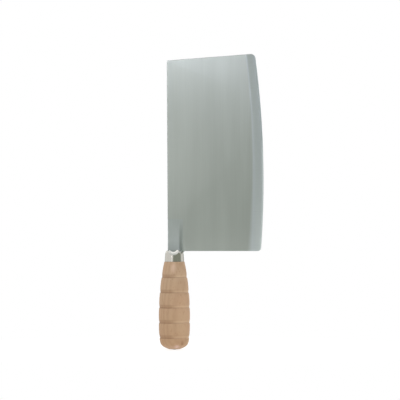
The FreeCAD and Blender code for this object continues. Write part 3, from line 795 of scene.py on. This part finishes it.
for outer, options in ((outside, corner_radii), (outside_height, corner_heights)):
    pick = add(tree, "GeometryNodeIndexSwitch", {"Index": corner}, data_type="FLOAT")
    while len(pick.index_switch_items) < BORE_CORNERS:
        pick.index_switch_items.new()
    for i, option in enumerate(options, 1):
        tree.links.new(option, pick.inputs[i])
    chosen.append(add(tree, SWITCH, {"Switch": in_bore, "False": outer, "True": pick}, input_type="FLOAT"))
radius, height = chosen
print("bore corners:", len(corner_radii))

# %% [markdown]
# Rolling up: the column gives an angle, and angle, radius and height give the place. The way round is
# clockwise, so that the faces look outwards. Sanding by hand leaves the surface a few hundredths of a
# millimetre uneven, which breaks the reflections a little, so a noise moves the outside by that much. It
# fades out over the shoulder's round, because the first row and the last have to meet there to be merged.
# The groove's share is stored for the wood. The tree ends in Realize Instances and Set Material, and what it
# makes is turned into a plain mesh, so that no modifier is left.

# %% Handle: roll it up
WELD = 0.02 * MM

angle = add(tree, MATH, {0: across["X"], 1: -2 * math.pi}, operation="MULTIPLY")
cosine = add(tree, MATH, {0: angle}, operation="COSINE")
sine = add(tree, MATH, {0: angle}, operation="SINE")


def place_on_circle(tree, radius):
    x = add(tree, MATH, {0: radius, 1: cosine}, operation="MULTIPLY")
    y = add(tree, MATH, {0: radius, 1: sine}, operation="MULTIPLY")
    return add(tree, COMBINE, {"X": x, "Y": y, "Z": height})


turned = place_on_circle(tree, radius)
noise_scale = add(tree, MATH, {0: 1.0, 1: size["Unevenness Size"]}, operation="DIVIDE")
rub = add(tree, NOISE, {"Vector": turned, "W": size["Seed"], "Scale": noise_scale, "Detail": 1.0},
          noise_dimensions="4D")
rub_depth = add(tree, MATH, {0: rub, 1: size["Unevenness"]}, operation="MULTIPLY")
outside_only = add(tree, MATH, {0: 1.0, 1: in_bore}, operation="SUBTRACT")
off_seam = add(tree, MAP_RANGE, {"Value": depth, "From Max": size["Shoulder Round"]})
sanded_share = add(tree, MATH, {0: outside_only, 1: off_seam}, operation="MULTIPLY")
rubbed = add(tree, MATH, {0: rub_depth, 1: sanded_share}, operation="MULTIPLY")
sanded_radius = add(tree, MATH, {0: radius, 1: rubbed}, operation="SUBTRACT")
sanded = place_on_circle(tree, sanded_radius)
marked = add(tree, "GeometryNodeStoreNamedAttribute", {
    "Geometry": grid, "Name": "groove", "Value": sunk_share}, data_type="FLOAT", domain="POINT")
rolled = add(tree, "GeometryNodeSetPosition", {"Geometry": marked, "Position": sanded})
merged = add(tree, "GeometryNodeMergeByDistance", {"Geometry": rolled, "Distance": WELD})
smooth = add(tree, "GeometryNodeSetShadeSmooth", {"Geometry": merged})
realized = add(tree, "GeometryNodeRealizeInstances", {"Geometry": smooth})
wooden = add(tree, "GeometryNodeSetMaterial", {"Geometry": realized, "Material": size["Wood"]})
add(tree, "NodeGroupOutput", {0: wooden})
print("handle tree:", len(tree.nodes), "nodes")

# %% [markdown]
# The modifier's inputs are set by their identifiers before anything is evaluated, so the first result is
# already right. Corners sharper than 50 degrees are the bore's and the tenon's. The rest is smooth.

# %% Handle: make it a mesh
HANDLE_SHARP = math.radians(50)

handle = bpy.data.objects.new("turned_handle", bpy.data.meshes.new("turned_handle"))
bpy.context.scene.collection.objects.link(handle)
modifier = handle.modifiers.new("Turning", "NODES")
modifier.node_group = tree
for identifier, value in values.items():
    modifier[identifier] = value
evaluated = handle.evaluated_get(bpy.context.evaluated_depsgraph_get())
turned_mesh = bpy.data.meshes.new_from_object(evaluated)
handle.modifiers.remove(modifier)
handle.data = turned_mesh
turned_mesh.set_sharp_from_angle(angle=HANDLE_SHARP)
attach(handle, "root")
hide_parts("handle")
print("handle:", len(turned_mesh.vertices), "vertices,", len(turned_mesh.polygons), "faces")

# %% [markdown]
# ## The studio
#
# The knife was photographed on pure white with no shadow, as on a lit table of white acrylic. The floor is a
# wide pale disc that the butt stands on. It glows a little, as such a table does, so that only a trace of a
# contact shadow is left.

# %% Floor
FLOOR_RADIUS, FLOOR_SIDES = 280 * MM, 96
FLOOR_DARK, FLOOR_PALE = "#a2a2a0", "#a8a8a6"
FLOOR_ROUGH, FLOOR_GLOW = 0.7, 0.72
DUST_SIZE = 40 * MM

bpy.ops.mesh.primitive_circle_add(
    vertices=FLOOR_SIDES, radius=FLOOR_RADIUS, fill_type="NGON", location=(0, 0, 0))
floor = bpy.context.object
floor.name = "Pale_floor"
for vertex in floor.data.vertices:
    vertex.co.z = cad_low.z
acrylic, tree = new_material("White_acrylic_matt_lit")
place = add(tree, COORDINATES).outputs["Object"]
dust = add(tree, NOISE, {"Vector": place, "Scale": 1 / DUST_SIZE, "Detail": 2.0})
pale = add(tree, MIX, {"Factor": dust, 6: linear(FLOOR_DARK), 7: linear(FLOOR_PALE)}, data_type="RGBA")
shader = add(tree, PRINCIPLED, {
    "Base Color": pale.outputs[2], "Roughness": FLOOR_ROUGH, "Emission Color": linear("#ffffff"),
    "Emission Strength": FLOOR_GLOW})
add(tree, OUTPUT, {"Surface": shader})
floor.data.materials.append(acrylic)
floor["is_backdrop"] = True
print("floor at", round(cad_low.z / MM, 1), "mm")

# %% [markdown]
# The world is a white tent with two darker openings. The one in front reaches from the camera round to the
# right: it is the dark stripe in the ferrule and the calm grey of the blade. A narrower one behind does the
# same for the back, which would otherwise be as white as the tent. An opening is a cone of directions, made
# flatter than wide by stretching the height before the angle is measured. The camera itself sees a plain
# white backdrop through the Light Path node, so the openings only show in reflections.

# %% Tent
OPENINGS = {
    "front": {"azimuth": 35, "inner": 44, "outer": 60},
    "back": {"azimuth": 174, "inner": 29, "outer": 40},
}
OPENING_FLATNESS = 1.5
TENT_WHITE, OPENING_GREY = "#ffffff", "#9da397"
BACKGROUND = "ShaderNodeBackground"

world = bpy.data.worlds.new("White_tent")
bpy.context.scene.world = world
world.use_nodes = True
tree = world.node_tree
tree.nodes.clear()
direction = add(tree, COORDINATES).outputs["Generated"]
flatter = add(tree, VECTOR_MATH, {0: direction, 1: (1, 1, OPENING_FLATNESS)}, operation="MULTIPLY")
flat_way = add(tree, VECTOR_MATH, {0: flatter}, operation="NORMALIZE")
dark = 0.0
for opening in OPENINGS.values():
    azimuth = math.radians(opening["azimuth"])
    middle = (math.sin(azimuth), -math.cos(azimuth), 0.0)
    towards = add(tree, VECTOR_MATH, {0: flat_way, 1: middle}, operation="DOT_PRODUCT").outputs["Value"]
    share = add(tree, MAP_RANGE, {
        "Value": towards, "From Min": math.cos(math.radians(opening["outer"])),
        "From Max": math.cos(math.radians(opening["inner"]))}, interpolation_type="SMOOTHSTEP")
    dark = add(tree, MATH, {0: share, 1: dark}, operation="MAXIMUM")
tent = add(tree, MIX, {"Factor": dark, 6: linear(TENT_WHITE), 7: linear(OPENING_GREY)}, data_type="RGBA")
light = add(tree, BACKGROUND, {"Color": tent.outputs[2], "Strength": 1.0})
backdrop = add(tree, BACKGROUND, {"Color": linear(TENT_WHITE), "Strength": 1.0})
seen = add(tree, "ShaderNodeLightPath").outputs["Is Camera Ray"]
studio = add(tree, MIX_SHADER, {0: seen, 1: light, 2: backdrop})
add(tree, "ShaderNodeOutputWorld", {"Surface": studio})
print("tent open in", " and ".join(OPENINGS))

# %% [markdown]
# Five soft boxes shape the metal. A long cool one stands above and in front, near the toe, and brightens the
# upper third of the blade. A small one on the left lifts the spine side. A high one on the right fills the
# lower blade with a bluish light, and two low ones catch the heel's edge and the right of the handle. Area
# lights are the plain tool for a soft box: size gives softness, and near boxes give the gradients that a far
# sky can't. Each box has a weaker twin behind the knife, so that its back has gradients too.

# %% Soft boxes
SOFT_BOXES = {
    "Cool_box_above": {"at": (-0.165, -0.34, 0.365), "aim": (0.07, 0.0, 0.29), "size": (0.36, 0.12),
                       "spread": 60, "watts": 0.139, "colour": "#f4f5ff"},
    "Box_left": {"at": (-0.24, -0.42, 0.175), "aim": (0.0, 0.0, 0.145), "size": (0.10, 0.10),
                 "spread": 44, "watts": 0.011, "colour": "#ffffff"},
    "Box_right_high": {"at": (0.25, -0.35, 0.34), "aim": (0.02, 0.0, 0.06), "size": (0.12, 0.12),
                       "spread": 90, "watts": 0.045, "colour": "#e0e0ff"},
    "Low_box_edge": {"at": (0.13, -0.30, -0.02), "aim": (0.085, 0.0, 0.09), "size": (0.06, 0.05),
                     "spread": 36, "watts": 0.001, "colour": "#ffffff"},
    "Low_box_right": {"at": (0.22, -0.22, -0.02), "aim": (0.0, 0.0, 0.0), "size": (0.14, 0.05),
                      "spread": 50, "watts": 0.0165, "colour": "#ffffff"},
}
SIDES = {"front": (1, 1.0), "back": (-1, 0.4)}
for (name, box), (side, power) in itertools.product(SOFT_BOXES.items(), SIDES.values()):
    lamp = bpy.data.lights.new(name, "AREA")
    lamp.shape = "RECTANGLE"
    lamp.size, lamp.size_y = box["size"]
    lamp.spread = math.radians(box["spread"])
    lamp.energy = box["watts"] * power
    lamp.color = linear(box["colour"])[:3]
    stand = bpy.data.objects.new(name, lamp)
    stand.location = box["at"][0], side * box["at"][1], box["at"][2]
    stand.rotation_euler = (Vector(box["aim"]) - stand.location).to_track_quat("-Z", "Y").to_euler()
    stand.visible_camera = False
    bpy.context.scene.collection.objects.link(stand)
print("soft boxes:", ", ".join(SOFT_BOXES), "and their twins behind")

# %% [markdown]
# ## The camera
#
# The rings on the handle look straight and the toe shows no thickness, so the picture was taken square to
# the blade through a long lens, from far away. Three metres is far enough. The frame is 426 mm wide at the
# knife, which sets the focal length, and its centre is right of the handle. The Standard view transform
# keeps white white and colours as they are.

# %% Camera
CAMERA_DISTANCE = 3.0
FRAME_WIDTH = 426.0 * MM
FRAME_CENTRE = (27.26 * MM, 112.47 * MM)
SENSOR_MM = 36.0

lens = bpy.data.cameras.new("Camera")
lens.sensor_width = SENSOR_MM
lens.lens = SENSOR_MM * CAMERA_DISTANCE / FRAME_WIDTH
camera = bpy.data.objects.new("Camera", lens)
camera.location = (FRAME_CENTRE[0], -CAMERA_DISTANCE, FRAME_CENTRE[1])
camera.rotation_euler = (math.radians(90), 0, 0)
bpy.context.scene.collection.objects.link(camera)
bpy.context.scene.camera = camera
bpy.context.scene.view_settings.view_transform = "Standard"
print("lens:", round(lens.lens, 1), "mm")

# %% [markdown]
# ## Sizes, and the end
#
# The dressed knife has to fill the same box as the solids, and its box is printed like theirs.

# %% Measure the dressed box and finish
low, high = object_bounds()
print("visual box, mm:", [round(v / MM, 1) for v in high - low])
